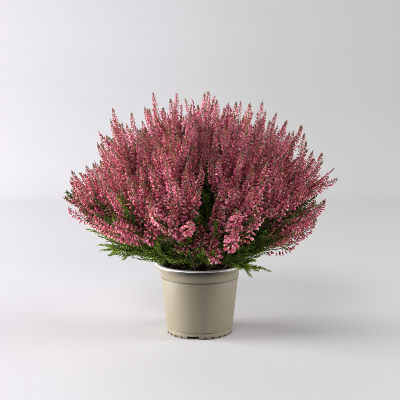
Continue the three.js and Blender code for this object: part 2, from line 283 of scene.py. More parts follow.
def cone(name, sides, radius, height):
    """A thin pointed leaf for the shaded inside of the plant."""
    shape = begin(bpy.ops.mesh.primitive_circle_add, name, vertices=sides, radius=radius, fill_type="NGON")
    edit(shape)
    bpy.ops.mesh.select_all(action="SELECT")
    bpy.ops.mesh.poke()
    pick(shape, lambda co: math.hypot(co.x, co.y) < 1e-4)
    bpy.ops.transform.translate(value=(0, 0, height))
    bpy.ops.mesh.select_all(action="SELECT")
    bpy.ops.mesh.region_to_loop()
    bpy.ops.mesh.edge_face_add()
    bpy.ops.mesh.select_all(action="SELECT")
    bpy.ops.mesh.normals_make_consistent(inside=False)
    leave()
    return taken(shape)


def taken(piece):
    """A modelled shape as arrays, to be copied into the pieces. The modelling object is removed."""
    mesh = piece.data
    points = np.empty(len(mesh.vertices) * 3)
    mesh.vertices.foreach_get("co", points)
    points = points.reshape(-1, 3)
    loops = np.empty(len(mesh.loops), int)
    mesh.loops.foreach_get("vertex_index", loops)
    sizes = np.empty(len(mesh.polygons), int)
    mesh.polygons.foreach_get("loop_total", sizes)
    bpy.data.objects.remove(piece)
    low, high = points[:, 2].min(), points[:, 2].max()
    return dict(points=points, loops=loops, sizes=sizes, share=(points[:, 2] - low) / (high - low))


class Growth:
    """Gathers copies of modelled shapes, and the stalks that carry them, for one piece."""

    def __init__(self):
        self.points, self.loops, self.sizes = [], [], []
        self.finish, self.tone, self.share = [], [], []
        self.count = 0

    def add(self, points, loops, sizes, finish, tone, share):
        self.points.append(points)
        self.loops.append(loops + self.count)
        self.sizes.append(sizes)
        self.finish.append(np.full(len(sizes), finish))
        self.tone.append(tone)
        self.share.append(share)
        self.count += len(points)

    def copies(self, shape, feet, ahead, scale, tone, rng, back=None):
        """A copy of shape at each foot, pointing ahead. Its outer side is turned away from back."""
        n, k = len(feet), len(shape["points"])
        if n == 0:
            return
        if back is None:
            back = rng.normal(size=(n, 3))
        x = unit(np.cross(back, ahead))
        y = np.cross(ahead, x)
        scale = np.asarray(scale, float)
        local = shape["points"][None] * scale.reshape(n, -1, 1 if scale.ndim < 2 else 3)
        points = feet[:, None] + local[..., :1] * x[:, None] + local[..., 1:2] * y[:, None]
        points = points + local[..., 2:] * ahead[:, None]
        loops = (shape["loops"][None] + (np.arange(n) * k)[:, None]).ravel()
        self.add(points.reshape(-1, 3), loops, np.tile(shape["sizes"], n), 0,
                 np.repeat(tone, k), np.tile(shape["share"], n))

    def stalk(self, curve, start, end, radii, rings, sides, finish=1):
        """A closed stalk along a stretch of a curve, its radius going through radii."""
        t = np.linspace(start, end, rings)
        centre, _, across, upright = curve.frames(t)
        radius = np.interp(np.linspace(0, 1, rings), np.linspace(0, 1, len(radii)), radii)
        angle = np.arange(sides) * 2 * math.pi / sides
        ring = across[:, None] * np.cos(angle)[:, None] + upright[:, None] * np.sin(angle)[:, None]
        points = (centre[:, None] + ring * radius[:, None, None]).reshape(-1, 3)
        i, k = np.meshgrid(np.arange(rings - 1), np.arange(sides), indexing="ij")
        a, b = i * sides + k, i * sides + (k + 1) % sides
        walls = np.stack([a, b, b + sides, a + sides], -1).ravel()
        caps = np.concatenate([np.arange(sides)[::-1], (rings - 1) * sides + np.arange(sides)])
        sizes = np.concatenate([np.full(i.size, 4), [sides, sides]])
        self.add(points, np.concatenate([walls, caps]), sizes, finish,
                 np.full(len(points), 0.5), np.repeat(np.linspace(0, 1, rings), sides))

    def made(self, name, finishes):
        mesh = bpy.data.meshes.new(name)
        points, loops, sizes = (np.concatenate(v) for v in (self.points, self.loops, self.sizes))
        mesh.vertices.add(len(points))
        mesh.vertices.foreach_set("co", (points * MM).astype(np.float32).ravel())
        mesh.loops.add(len(loops))
        mesh.loops.foreach_set("vertex_index", loops.astype(np.int32))
        mesh.polygons.add(len(sizes))
        mesh.polygons.foreach_set("loop_start", (np.cumsum(sizes) - sizes).astype(np.int32))
        mesh.polygons.foreach_set("material_index", np.concatenate(self.finish).astype(np.int32))
        for key, rows in (("tone", self.tone), ("share", self.share)):
            values = np.concatenate(rows).astype(np.float32)
            mesh.attributes.new(key, "FLOAT", "POINT").data.foreach_set("value", values)
        for finish in finishes:
            mesh.materials.append(finish)
        mesh.update(calc_edges=True)
        mesh.shade_smooth()
        piece = bpy.data.objects.new(name, mesh)
        bpy.context.scene.collection.objects.link(piece)
        return piece


def stands_for(piece, slot, *nodes):
    """Puts a finished piece under the root body and hides the nodes of the part that it replaces. slot is
    not used.
    """
    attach(piece, "root")
    if nodes:
        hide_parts(*nodes)
    return piece


# ---- Finishes ----


class Nodes:
    """A material with one Principled shader, and short calls to link nodes to it."""

    def __init__(self, name, **values):
        self.material = bpy.data.materials.new(name)
        self.material.use_nodes = True
        self.tree = self.material.node_tree
        self.shader = self.tree.nodes["Principled BSDF"]
        for key, value in values.items():
            self.shader.inputs[key.replace("_", " ").title().replace("Ior", "IOR")].default_value = value

    def put(self, kind, links=(), **settings):
        new = self.tree.nodes.new(kind)
        for key, value in settings.items():
            setattr(new, key, value)
        for socket, source in dict(links).items():
            if isinstance(source, bpy.types.NodeSocket):
                self.tree.links.new(source, new.inputs[socket])
            else:
                new.inputs[socket].default_value = source
        return new

    def link(self, source, socket):
        self.tree.links.new(source, self.shader.inputs[socket])

    def own(self, name):
        return self.put("ShaderNodeAttribute", attribute_name=name).outputs["Fac"]

    def place(self):
        return self.put("ShaderNodeTexCoord").outputs["Object"]

    def noise(self, scale, detail=3.0, rough=0.55, place=None):
        links = {"Vector": place or self.place(), "Scale": scale, "Detail": detail, "Roughness": rough}
        return self.put("ShaderNodeTexNoise", links).outputs["Fac"]

    def ramp(self, source, *stops):
        new = self.put("ShaderNodeValToRGB", {"Fac": source})
        marks = new.color_ramp.elements
        while len(marks) < len(stops):
            marks.new(0.5)
        for mark, (at, colour) in zip(marks, stops):
            mark.position = at
            mark.color = (*((colour,) * 3 if np.isscalar(colour) else colour), 1)
        return new.outputs["Color"]

    def blend(self, share, a, b, kind="MIX"):
        new = self.put("ShaderNodeMix", data_type="RGBA", blend_type=kind)
        for socket, value in zip((new.inputs[0], new.inputs[6], new.inputs[7]), (share, a, b)):
            if isinstance(value, bpy.types.NodeSocket):
                self.tree.links.new(value, socket)
            elif np.isscalar(value):
                socket.default_value = value
            else:
                socket.default_value = (*value, 1)
        return new.outputs[2]

    def maths(self, kind, a, b=0.0):
        return self.put("ShaderNodeMath", {0: a, 1: b}, operation=kind).outputs[0]

    def bump(self, height, strength, distance):
        links = {"Height": height, "Strength": strength, "Distance": distance}
        self.link(self.put("ShaderNodeBump", links).outputs["Normal"], "Normal")


def blossom_finish():
    """Green to deep red in bud, pink in flower, darker at the foot, paler at some of the tips."""
    m = Nodes("heather_blossom", roughness=0.55, specular_ior_level=0.15)
    tone = m.ramp(m.own("tone"), (0.0, (0.12, 0.15, 0.045)), (0.14, (0.2, 0.085, 0.03)),
                  (0.2, (0.32, 0.035, 0.028)), (0.48, (0.68, 0.078, 0.174)),
                  (0.76, (0.85, 0.186, 0.296)), (1.0, (0.93, 0.39, 0.43)))
    deep = m.blend(m.ramp(m.own("share"), (0.0, 0.85), (0.58, 0.0)), tone, (0.17, 0.022, 0.006))
    pale = m.ramp(m.maths("FRACT", m.maths("MULTIPLY", m.own("tone"), 23.7)), (0.71, 0.1), (0.77, 1.0))
    tip = m.maths("MULTIPLY", m.ramp(m.own("share"), (0.53, 0.0), (0.98, 0.92)), pale)
    colour = m.blend(tip, deep, (0.92, 0.6, 0.56))
    hue = m.ramp(m.noise(60, 2), (0.3, (1, 1.17, 0.82)), (0.7, (1, 0.82, 1.2)))
    colour = m.blend(1.0, colour, hue, "MULTIPLY")
    faded = m.ramp(m.noise(110, 3), (0.5, 0.0), (0.72, 0.5))
    colour = m.blend(faded, colour, (0.45, 0.2, 0.16))
    fine = m.noise(900, 2)
    m.link(m.blend(m.ramp(fine, (0.3, 0.0), (0.75, 0.35)), colour, (0.45, 0.045, 0.115)), "Base Color")
    m.link(m.ramp(fine, (0.3, 0.42), (0.7, 0.62)), "Roughness")
    m.bump(m.noise(2200, 2), 0.3, 0.0002)
    return m.material


def leaf_finish():
    m = Nodes("heather_leaf", roughness=0.6, specular_ior_level=0.15)
    tone = m.ramp(m.own("tone"), (0.0, (0.018, 0.034, 0.003)), (0.4, (0.093, 0.19, 0.007)),
                  (0.75, (0.2, 0.33, 0.016)), (1.0, (0.34, 0.42, 0.05)))
    fine = m.noise(700, 2)
    m.link(m.blend(m.ramp(fine, (0.3, 0.0), (0.75, 0.4)), tone, (0.05, 0.095, 0.006)), "Base Color")
    m.link(m.ramp(fine, (0.3, 0.5), (0.7, 0.7)), "Roughness")
    m.bump(m.noise(2500, 2), 0.3, 0.0002)
    return m.material


def wood_finish():
    m = Nodes("heather_wood", roughness=0.8)
    grain = m.noise(500, 4, 0.7)
    bark = m.ramp(grain, (0.3, (0.035, 0.018, 0.01)), (0.55, (0.1, 0.055, 0.03)), (0.8, (0.2, 0.13, 0.07)))
    m.link(bark, "Base Color")
    m.link(m.ramp(grain, (0.3, 0.9), (0.8, 0.65)), "Roughness")
    m.bump(grain, 0.6, 0.0004)
    return m.material


def twig_finish():
    m = Nodes("heather_twig", roughness=0.6)
    fine = m.noise(600, 3)
    bark = m.ramp(fine, (0.3, (0.06, 0.07, 0.02)), (0.55, (0.14, 0.11, 0.04)), (0.8, (0.22, 0.1, 0.06)))
    m.link(bark, "Base Color")
    m.link(m.ramp(fine, (0.3, 0.5), (0.8, 0.75)), "Roughness")
    m.bump(fine, 0.4, 0.0003)
    return m.material


# Where the painted shade on the neck under the lip starts, and how high it reaches.
NECK_SHADE_FROM, NECK_SHADE_HEIGHT = 0.081, 0.012  # metres


def taupe_finish():
    """Matt taupe plastic, with painted shadow in the two moulded lines, painted shade at the foot, and
    painted shade on the neck under the lip, most of it front and back."""
    m = Nodes("pot_taupe", roughness=0.45)
    broad, fine = m.noise(14, 3), m.noise(420, 4, 0.6)
    colour = m.ramp(broad, (0.3, (0.212, 0.184, 0.126)), (0.7, (0.232, 0.201, 0.14)))
    colour = m.blend(m.ramp(fine, (0.35, 0.0), (0.8, 0.25)), colour, (0.188, 0.163, 0.113))
    axes = m.put("ShaderNodeSeparateXYZ", {0: m.place()}).outputs
    # Painted shadow: a thin dark line at each of the two moulded lines, as their grooves' shadow.
    for level, width, depth in ((BAND_Z - 0.8, 0.7, 0.8), (FOOT_LINE_Z - 0.5, 0.6, 0.5)):
        off = m.maths("ABSOLUTE", m.maths("SUBTRACT", axes["Z"], level * MM))
        line = m.ramp(m.maths("DIVIDE", off, 2 * width * MM), (0.0, depth), (0.35, depth), (0.7, 0.0))
        colour = m.blend(line, colour, (0.04, 0.035, 0.028))
    # Painted shade: the neck under the lip is darkened as the lip's shadow, weaker at the sides.
    under = m.maths("DIVIDE", m.maths("SUBTRACT", axes["Z"], NECK_SHADE_FROM), NECK_SHADE_HEIGHT)
    shade = m.ramp(under, (0.08, 0.0), (0.31, 0.22), (0.54, 0.6), (0.67, 0.9), (0.75, 0.98))
    across = m.maths("ABSOLUTE", m.maths("DIVIDE", axes["X"], LIP_RADIUS * MM))
    shade = m.maths("MULTIPLY", shade, m.ramp(across, (0.25, 1.0), (0.8, 0.15)))
    colour = m.blend(shade, colour, (0.02, 0.017, 0.013))
    # Painted shade at the foot: darker towards the bottom edge.
    foot = m.ramp(m.maths("DIVIDE", axes["Z"], 0.01), (0.0, 0.55), (0.12, 0.45), (0.42, 0.0))
    m.link(m.blend(foot, colour, (0.05, 0.044, 0.036)), "Base Color")
    m.link(m.ramp(fine, (0.3, 0.42), (0.7, 0.54)), "Roughness")
    m.bump(m.noise(1500, 3, 0.6), 0.12, 0.0003)
    return m.material


def white_finish():
    m = Nodes("pot_white", roughness=0.38)
    broad, fine = m.noise(18, 3), m.noise(420, 4, 0.6)
    m.link(m.ramp(broad, (0.3, (0.88, 0.87, 0.85)), (0.7, (0.92, 0.915, 0.9))), "Base Color")
    m.link(m.ramp(fine, (0.3, 0.34), (0.7, 0.46)), "Roughness")
    m.bump(m.noise(1500, 3, 0.6), 0.1, 0.0003)
    return m.material


def peat_finish():
    m = Nodes("peat_crumb", roughness=0.9)
    crumb, broad = m.noise(650, 5, 0.7), m.noise(90, 3)
    dark = m.ramp(crumb, (0.3, (0.008, 0.004, 0.003)), (0.55, (0.04, 0.018, 0.014)),
                  (0.85, (0.13, 0.065, 0.05)))
    m.link(m.blend(m.ramp(broad, (0.4, 0.0), (0.7, 0.5)), dark, (0.055, 0.025, 0.022)), "Base Color")
    m.link(m.ramp(crumb, (0.3, 0.95), (0.8, 0.75)), "Roughness")
    m.bump(crumb, 0.9, 0.0015)
    return m.material


BLOSSOM, LEAF, WOOD, TWIG = blossom_finish(), leaf_finish(), wood_finish(), twig_finish()
TAUPE, WHITE, PEAT = taupe_finish(), white_finish(), peat_finish()


# ---- The pot ----

POT_SIDES, EDGE_BEVEL = 128, 0.28
NOTCHES = 7  # small notches in each third of the foot ring


def wall_radius(z):
    return mix(FOOT_LINE_RADIUS, BAND_RADIUS, (z - FOOT_LINE_Z) / (BAND_Z - FOOT_LINE_Z)) - WALL


def make_pot():
    """Drawn up ring by ring from the inside of the base, over the lip and down to the underside."""
    under, roof = POT_HEIGHT - LIP_DROP, POT_HEIGHT - LIP_SKIN
    profile = [
        (wall_radius(BASE_Z + WALL), BASE_Z + WALL),
        (wall_radius(BAND_Z), BAND_Z),
        (NECK_RADIUS - WALL, POT_HEIGHT - LIP_EDGE),
        (NECK_RADIUS - WALL + LIP_EDGE, POT_HEIGHT),
        (LIP_RADIUS - 2.2, POT_HEIGHT),
        (LIP_RADIUS - 1.1, POT_HEIGHT - 0.2),
        (LIP_RADIUS - 0.3, POT_HEIGHT - 0.7),
        (LIP_RADIUS, POT_HEIGHT - 1.35),
        (LIP_RADIUS, under),
        (LIP_RADIUS - LIP_SKIN, under),
        (LIP_RADIUS - LIP_SKIN, roof),
        (NECK_RADIUS, roof),
        (BAND_RADIUS, BAND_Z + 0.4),
        (BAND_RADIUS - 1.1, BAND_Z),
        (BAND_RADIUS - BAND_STEP, BAND_Z - BAND_STEP),
        (FOOT_LINE_RADIUS, FOOT_LINE_Z + FOOT_STEP),
        (FOOT_LINE_RADIUS - 1.0, FOOT_LINE_Z),
        (FOOT_LINE_RADIUS - FOOT_STEP, FOOT_LINE_Z - 0.5),
        (FOOT_RADIUS, 0),
        (FOOT_RADIUS - FOOT_WIDTH, 0),
        (FOOT_RADIUS - FOOT_WIDTH, BASE_Z),
    ]
    radius, z = profile[0]
    pot = begin(bpy.ops.mesh.primitive_circle_add, "pot_body", vertices=POT_SIDES, radius=radius * MM,
                location=(0, 0, z * MM), fill_type="NGON")
    bpy.ops.object.transform_apply(location=True, rotation=True, scale=True)
    edit(pot)
    bpy.ops.mesh.select_all(action="SELECT")
    bpy.ops.mesh.region_to_loop()
    for (r0, z0), (r1, z1) in zip(profile, profile[1:]):
        bpy.ops.mesh.extrude_edges_move(TRANSFORM_OT_translate={"value": (0, 0, (z1 - z0) * MM)})
        bpy.ops.transform.resize(value=(r1 / r0, r1 / r0, 1), center_override=(0, 0, 0))
    bpy.ops.mesh.edge_face_add()
    bpy.ops.mesh.select_all(action="SELECT")
    bpy.ops.mesh.normals_make_consistent(inside=False)
    leave()
    cutters = drain_cutters()
    cut = pot.modifiers.new("drains", "BOOLEAN")
    cut.operation, cut.solver, cut.object = "DIFFERENCE", "EXACT", cutters
    apply_modifiers(pot)
    bpy.data.objects.remove(cutters)
    soften = pot.modifiers.new("soft edges", "BEVEL")
    soften.width, soften.segments, soften.angle_limit = EDGE_BEVEL * MM, 2, math.radians(28)
    apply_modifiers(pot)
    bpy.ops.object.shade_smooth_by_angle(angle=math.radians(32))
    pot.data.materials.append(TAUPE)
    pot.data.materials.append(WHITE)
    for face in pot.data.polygons:
        r, z = math.hypot(face.center.x, face.center.y) / MM, face.center.z / MM
        lip = z > POT_HEIGHT - 1.35
        inside = r < wall_radius(z) + 0.35 * WALL and z > BASE_Z + 0.6 * WALL
        face.material_index = 1 if lip or inside else 0
    return stands_for(pot, "pot_plastic", "pot")


def drain_cutters():
    """Blocks for the notches in the foot ring and the slots in the base."""
    blocks = []
    ring = FOOT_RADIUS - FOOT_WIDTH / 2

    def block(turn, distance, width, depth, bottom, top):
        centre = outwards(turn) * distance
        begin(bpy.ops.mesh.primitive_cube_add, "cutter", size=1, rotation=(0, 0, math.radians(turn)),
              location=(centre[0] * MM, centre[1] * MM, (bottom + top) / 2 * MM),
              scale=(width * MM, depth * MM, (top - bottom) * MM))
        blocks.append(bpy.context.object)

    for group in range(3):
        turn = DRAIN_FIRST + 120 * group
        block(turn, ring, 16, 3 * FOOT_WIDTH, -WALL, 4.2)
        block(turn, 31, 12, 14, 0, BASE_Z + 2 * WALL)
        for i in range(NOTCHES):
            block(turn + SMALL_NOTCH_FIRST + SMALL_NOTCH_PITCH * i, ring, 2.6, 3 * FOOT_WIDTH, -WALL, 2.8)
    bpy.ops.object.select_all(action="DESELECT")
    for b in blocks:
        b.select_set(True)
    bpy.context.view_layer.objects.active = blocks[0]
    bpy.ops.object.join()
    bpy.ops.object.transform_apply(location=True, rotation=True, scale=True)
    return blocks[0]


# ---- The peat ----

PEAT_SIDES, PEAT_RINGS = 112, 24
CRUMB_SHAPES, CRUMBS_OF_EACH = 3, 170


def soil_height(radius, angle):
    """The peat's level, as in the part: a low mound with soft lumps."""
    mound = SOIL_MOUND * (1 - (radius / NECK_RADIUS) ** 2)
    lumps = np.sin(0.31 * radius + 3 * angle) + np.sin(0.19 * radius - 5 * angle)
    return SOIL_LEVEL + mound + SOIL_LUMP / 2 * lumps


def make_peat():
    """A disc inset ring by ring, raised to the mound, roughened, and drawn down to the pot's base."""
    rim, bottom = wall_radius(SOIL_LEVEL) - GAP, BASE_Z + WALL + GAP
    peat = begin(bpy.ops.mesh.primitive_circle_add, "peat_bed", vertices=PEAT_SIDES, radius=rim * MM,
                 location=(0, 0, SOIL_LEVEL * MM), fill_type="NGON")
    bpy.ops.object.transform_apply(location=True, rotation=True, scale=True)
    edit(peat)
    bpy.ops.mesh.select_all(action="SELECT")
    for _ in range(PEAT_RINGS):
        bpy.ops.mesh.inset(thickness=rim / (PEAT_RINGS + 2) * MM, depth=0)
    bpy.ops.mesh.poke()
    leave()
    for v in peat.data.vertices:
        radius, angle = math.hypot(v.co.x, v.co.y) / MM, math.atan2(v.co.y, v.co.x)
        v.co.z = soil_height(radius, angle) * MM
    crumbs = bpy.data.textures.new("crumbs", "CLOUDS")
    crumbs.noise_scale, crumbs.noise_depth = 0.0035, 3
    rough = peat.modifiers.new("crumbs", "DISPLACE")
    rough.texture, rough.texture_coords, rough.strength, rough.mid_level = crumbs, "LOCAL", 0.0032, 0.55
    rough.direction = "Z"
    apply_modifiers(peat)
    bpy.data.textures.remove(crumbs)
    edit(peat)
    bpy.ops.mesh.select_all(action="SELECT")
    bpy.ops.mesh.region_to_loop()
    bpy.ops.mesh.extrude_edges_move(TRANSFORM_OT_translate={"value": (0, 0, (bottom - SOIL_LEVEL) * MM)})
    bpy.ops.transform.resize(value=(1, 1, 0), center_override=(0, 0, bottom * MM))
    narrow = (wall_radius(bottom) - GAP) / rim
    bpy.ops.transform.resize(value=(narrow, narrow, 1), center_override=(0, 0, 0))
    bpy.ops.mesh.edge_face_add()
    bpy.ops.mesh.select_all(action="SELECT")
    bpy.ops.mesh.normals_make_consistent(inside=False)
    leave()
    bpy.ops.object.shade_smooth_by_angle(angle=math.radians(60))
    peat.data.materials.append(PEAT)
    return stands_for(peat, "peat", "soil")


def make_crumbs():
    """Loose crumbs of peat and bits of bark on the bed."""
    rng = np.random.default_rng(5)
    shapes = []
    for seed in range(CRUMB_SHAPES):
        crumb = begin(bpy.ops.mesh.primitive_ico_sphere_add, "crumb", subdivisions=1, radius=1)
        edit(crumb)
        bpy.ops.mesh.select_all(action="SELECT")
        bpy.ops.transform.vertex_random(offset=0.35, seed=seed)
        bpy.ops.mesh.normals_make_consistent(inside=False)
        leave()
        shapes.append(taken(crumb))
    growth = Growth()
    rim = wall_radius(SOIL_LEVEL) - 2.5
    for i, shape in enumerate(shapes):
        n = CRUMBS_OF_EACH
        radius, angle = rim * np.sqrt(rng.uniform(0, 1, n)), rng.uniform(-math.pi, math.pi, n)
        height = soil_height(radius, angle) + rng.uniform(0.1, 0.9, n)
        feet = np.stack([radius * np.cos(angle), radius * np.sin(angle), height], -1)
        size = rng.uniform(0.5, 1.5, (n, 1)) * np.array([1, rng.uniform(0.6, 1), 0.7 + 0.9 * (i == 2)])
        ahead = unit(rng.normal(size=(n, 3)))
        growth.copies(shape, feet, ahead, size, rng.uniform(0, 1, n), rng)
    return stands_for(growth.made("peat_crumbs", [PEAT]), "peat")


# ---- Leaves, buds and florets, each modelled once ----

BUD = spindle("bud", 3, [(0, 0), (3.0, 0.9), (4.8, 0)])
YOUNG_BUD = spindle("young bud", 3, [(0, 0), (2.6, 0.9), (3.8, 0)])
FLORET = spindle("floret", 4, [(0, 0), (1.7, 0.75), (4.2, 1.2), (3.0, 0)])
LEAFLET = spindle("leaflet", 3, [(0, 0), (1.3, 0.66), (3.5, 0)], flat=0.6, lean=0.05)
INNER_LEAF = cone("inner leaf", 3, 0.75, 3.9)
TIP_HEIGHT = 7.4
SHOOT_TIP = spindle("shoot tip", 4, [(0, 0), (1.4, 1.2), (2.0, 0.8), (3.6, 1.3), (4.2, 0.75), (5.6, 0.95),
                                     (TIP_HEIGHT, 0)])


def leaves_along(growth, curve, start, end, rng, tone, pitch=0.9, reach=1.0, radius=0.6, shape=LEAFLET):
    """Small leaves set thickly round a stretch of a curve, shorter and steeper towards its end."""
    n = max(6, int((end - start) * curve.length / pitch))
    share = (np.arange(n) + rng.uniform(0, 0.8, n)) / n
    centre, along, across, upright = curve.frames(mix(start, end, share))
    angle = GOLDEN_TURN * np.arange(n) + rng.normal(0, 0.25, n)
    out = across * np.cos(angle)[:, None] + upright * np.sin(angle)[:, None]
    slant = np.radians(mix(58, 26, share) + rng.normal(0, 11, n))[:, None]
    ahead = unit(out * np.sin(slant) + along * np.cos(slant))
    size = reach * mix(1.05, 0.75, share ** 2) * rng.uniform(0.75, 1.2, n)
    tones = np.clip(tone + 0.45 * (share - 0.4) + rng.normal(0, 0.14, n), 0, 1)
    growth.copies(shape, centre + out * radius, ahead, size, tones, rng, back=along)


def leafy_shoot(growth, curve, rng, tone, reach=1.0, pitch=0.9, shape=LEAFLET):
    growth.stalk(curve, 0, 1, (0.55, 0.35), 5, sides=3)
    leaves_along(growth, curve, 0.08, 1, rng, tone, pitch, reach, radius=0.35, shape=shape)


WHORL, ROW_PITCH = 5, 2.6  # buds in a row round a spike, and the height of a row
FULL_LENGTH, YOUNG_LENGTH = 42, 26  # how far under its tip a spike is full, and how far its buds are young
TIP_SUNK = 2.5  # how deep the green tip starts inside the spike


def flower_spike(buds, greens, curve, start, rng, size, tone, open_share=0.1):
    """Rows of buds and florets round a stretch of a curve, smaller, steeper and duller to its green tip."""
    tuft = rng.uniform(2.2, 5)
    last = 1 - tuft / curve.length
    length = (last - start) * curve.length
    rows = max(4, int(length / (ROW_PITCH * size)))
    row = np.repeat(np.arange(rows), WHORL)
    n = len(row)
    share = 1 - (1 - (row + rng.normal(0.3, 0.1, n)) / rows).clip(0, 1) ** 1.25
    centre, along, across, upright = curve.frames(mix(start, last, share))
    angle = np.tile(np.arange(WHORL), rows) * 2 * math.pi / WHORL + row * math.pi / WHORL
    angle = angle + rng.normal(0, 0.25, n)
    out = across * np.cos(angle)[:, None] + upright * np.sin(angle)[:, None]
    left = (1 - share) * length
    full = np.clip(left / FULL_LENGTH, 0.01, 1) ** 0.85 * np.clip(0.7 + share * 2.2, 0, 1)
    lumps = 1 + 0.2 * np.sin(left / 5 + rng.uniform(0, 6))
    foot = size * mix(0.2, 2.2, full) * lumps * rng.uniform(0.6, 1.2, n)
    slant = np.radians(mix(32, 78, np.clip(left / 28, 0, 1) ** 0.7) + rng.normal(0, 9, n))[:, None]
    droop = np.array([0, 0, -1]) * rng.uniform(-0.1, 0.3, (n, 1)) * full[:, None]
    ahead = unit(out * np.sin(slant) + along * np.cos(slant) + droop)
    scale = size * mix(0.55, 1.0, np.clip(left / 14, 0, 1) ** 0.8) * rng.uniform(0.85, 1.15, n)
    tones = 0.2 + 0.8 * np.clip(tone + rng.normal(0, 0.32, n), 0, 1)
    tones *= np.clip((left - rng.uniform(-2, 6, n)) / 5, 0, 1)
    feet = centre + out * foot[:, None]
    opened = rng.uniform(0, 1, n) < open_share * full
    young = (left < YOUNG_LENGTH) & ~opened
    for shape, these in ((YOUNG_BUD, young), (BUD, ~young & ~opened), (FLORET, opened)):
        buds.copies(shape, feet[these], ahead[these], scale[these], tones[these], rng)
    buds.stalk(curve, start, last, (0.7, 0.4), max(3, int(length / 12)), sides=3)
    few = max(3, n // 22)
    some = rng.choice(n, few, replace=False)
    greens.copies(LEAFLET, centre[some] + out[some] * 0.5, unit(out[some] + along[some] * 0.9),
                  rng.uniform(0.6, 0.95, few), np.clip(rng.normal(0.3, 0.12, few), 0, 1), rng)
    foot, ahead = curve.at(last - TIP_SUNK / curve.length), curve.along(last)
    girth = rng.uniform(0.5, 0.85) * size
    buds.copies(SHOOT_TIP, foot, ahead, np.array([[girth, girth, (tuft + TIP_SUNK) / TIP_HEIGHT]]),
                np.array([rng.uniform(0.0, 0.03)]), rng)


# ---- Spikes over the whole dome ----

ENVELOPE_FOOT, ENVELOPE_RISE, ENVELOPE_RADIUS, ENVELOPE_POWER = 130, 194, 218, 3.3
WIDEST, TALLEST = 182.5, 323.5


def dome_height(radius):
    return ENVELOPE_FOOT + ENVELOPE_RISE * (1 - (radius / ENVELOPE_RADIUS) ** ENVELOPE_POWER)


def dome_tips(rng, count):
    """Points spread evenly over the dome: a few stand out of it, most are well under it."""
    r = np.linspace(0, 178, 800)
    slope = np.gradient(dome_height(r), r)
    area = np.cumsum(r * np.sqrt(1 + slope ** 2))
    area = area / area[-1]
    i = np.arange(count)
    radius = np.interp((i + 0.5) / count, area, r) + rng.normal(0, 3, count)
    radius = np.clip(radius, 0, 178)
    angle = GOLDEN_TURN * i + rng.normal(0, 0.03, count)
    level = rng.uniform(0, 1, count)
    depth = np.interp(level, (0, 0.05, 0.12, 0.3, 1), (-9, 1, 15, 33, 64))
    scale = 1 - depth / 300
    centre = np.array([0, 0, 90.0])
    tips = np.stack([radius * np.cos(angle), radius * np.sin(angle), dome_height(radius)], -1)
    return centre + (tips - centre) * scale[:, None]


def under_tips(rng, count):
    """Points on the lower outer side, under the widest part of the dome."""
    z = rng.uniform(142, 212, count)
    radius = np.minimum(122 + (z - 106) * 0.6, 178) + rng.uniform(-14, 4, count)
    angle = GOLDEN_TURN * np.arange(count) + rng.normal(0, 0.1, count)
    return np.stack([radius * np.cos(angle), radius * np.sin(angle), z], -1)


# Spikes on both sides of the parting in front: the tip's turn, distance from the axis and height, and the
# spike's length.
FRONT_SPIKES = [(12, 116, 200, 105), (14, 112, 212, 110), (17, 120, 203, 100), (1, 118, 166, 66),
                (10.5, 118, 170, 74), (9.5, 112, 150, 60), (13, 120, 184, 84), (10.5, 108, 138, 50),
                (-6, 124, 186, 85), (-13, 126, 180, 80), (-10, 128, 204, 90), (-20, 130, 194, 85),
                (-16, 122, 214, 90), (-25, 128, 212, 85), (-7, 116, 216, 95), (-28, 134, 196, 85),
                (-12, 132, 224, 95), (-4, 122, 202, 90), (-18, 126, 176, 75), (-9, 122, 168, 70),
                (-23, 132, 182, 80)]
EXTRA_LENGTH = 75
DOME_SPIKES, UNDER_SPIKES, SPIKES_APART = 440, 70, 9


def place_spikes(shoots):
    """Gives every shoot the extra spikes whose tips it carries best, near their length, rising, not bent
    back. A parting in front shows the leafy inside of the plant, and low down beside it it is leafy too."""
    rng = np.random.default_rng(21)
    tips = np.concatenate([dome_tips(rng, DOME_SPIKES), under_tips(rng, UNDER_SPIKES)])
    turn = np.degrees(np.arctan2(tips[:, 0], -tips[:, 1]))
    parting = (turn > -3) & (turn < 11.5) & (tips[:, 2] < 226) & (np.hypot(tips[:, 0], tips[:, 1]) > 40)
    parting |= (turn > -85) & (turn < -15) & (tips[:, 2] < 172)
    parting |= (turn > 20) & (turn < 50) & (tips[:, 2] < 185)
    wanted = [(outwards(turn) * r + [0, 0, z], long) for turn, r, z, long in FRONT_SPIKES]
    wanted += [(tip, EXTRA_LENGTH) for tip in tips[~parting]]
    taken_tips = np.array([c.at(1)[0] for s in shoots for c in [s["stem"], *s["spikes"]]])
    t = np.linspace(0.2, 0.84, 33)
    for s in shoots:
        s["extra"] = []
        s["rows"] = s["stem"].at(t), s["stem"].along(t)
    for tip, long in wanted:
        if np.linalg.norm(taken_tips - tip, axis=1).min() < SPIKES_APART:
            continue
        best = (1e9, None, None)
        for s in shoots:
            points, along = s["rows"]
            away = tip - points
            length = np.linalg.norm(away, axis=1)
            rise, straight = away[:, 2] / length, (away * along).sum(1) / length
            cost = (np.abs(length - long) * 0.5 + 90 * np.maximum(0, 0.62 - rise)
                    + 70 * np.maximum(0, 0.75 - straight) + 40 * np.maximum(0, s["start"] - 0.22 - t))
            j = int(np.argmin(cost))
            if cost[j] < best[0]:
                best = (cost[j], s, t[j])
        curve = best[1]["stem"].branch_to(best[2], tip)
        bare = curve.length - rng.uniform(50, 66) * long / EXTRA_LENGTH
        best[1]["extra"].append((curve, max(0.15, bare / curve.length)))
    return shoots


def inside(points):
    """Draws in what would stand out of the plant's own size."""
    level = np.linalg.norm(points[:, :2], axis=1)
    points[:, :2] *= np.minimum(1, WIDEST / np.maximum(level, 1e-6))[:, None]
    points[:, 2] = np.minimum(points[:, 2], TALLEST)
    return points


# ---- The plant ----


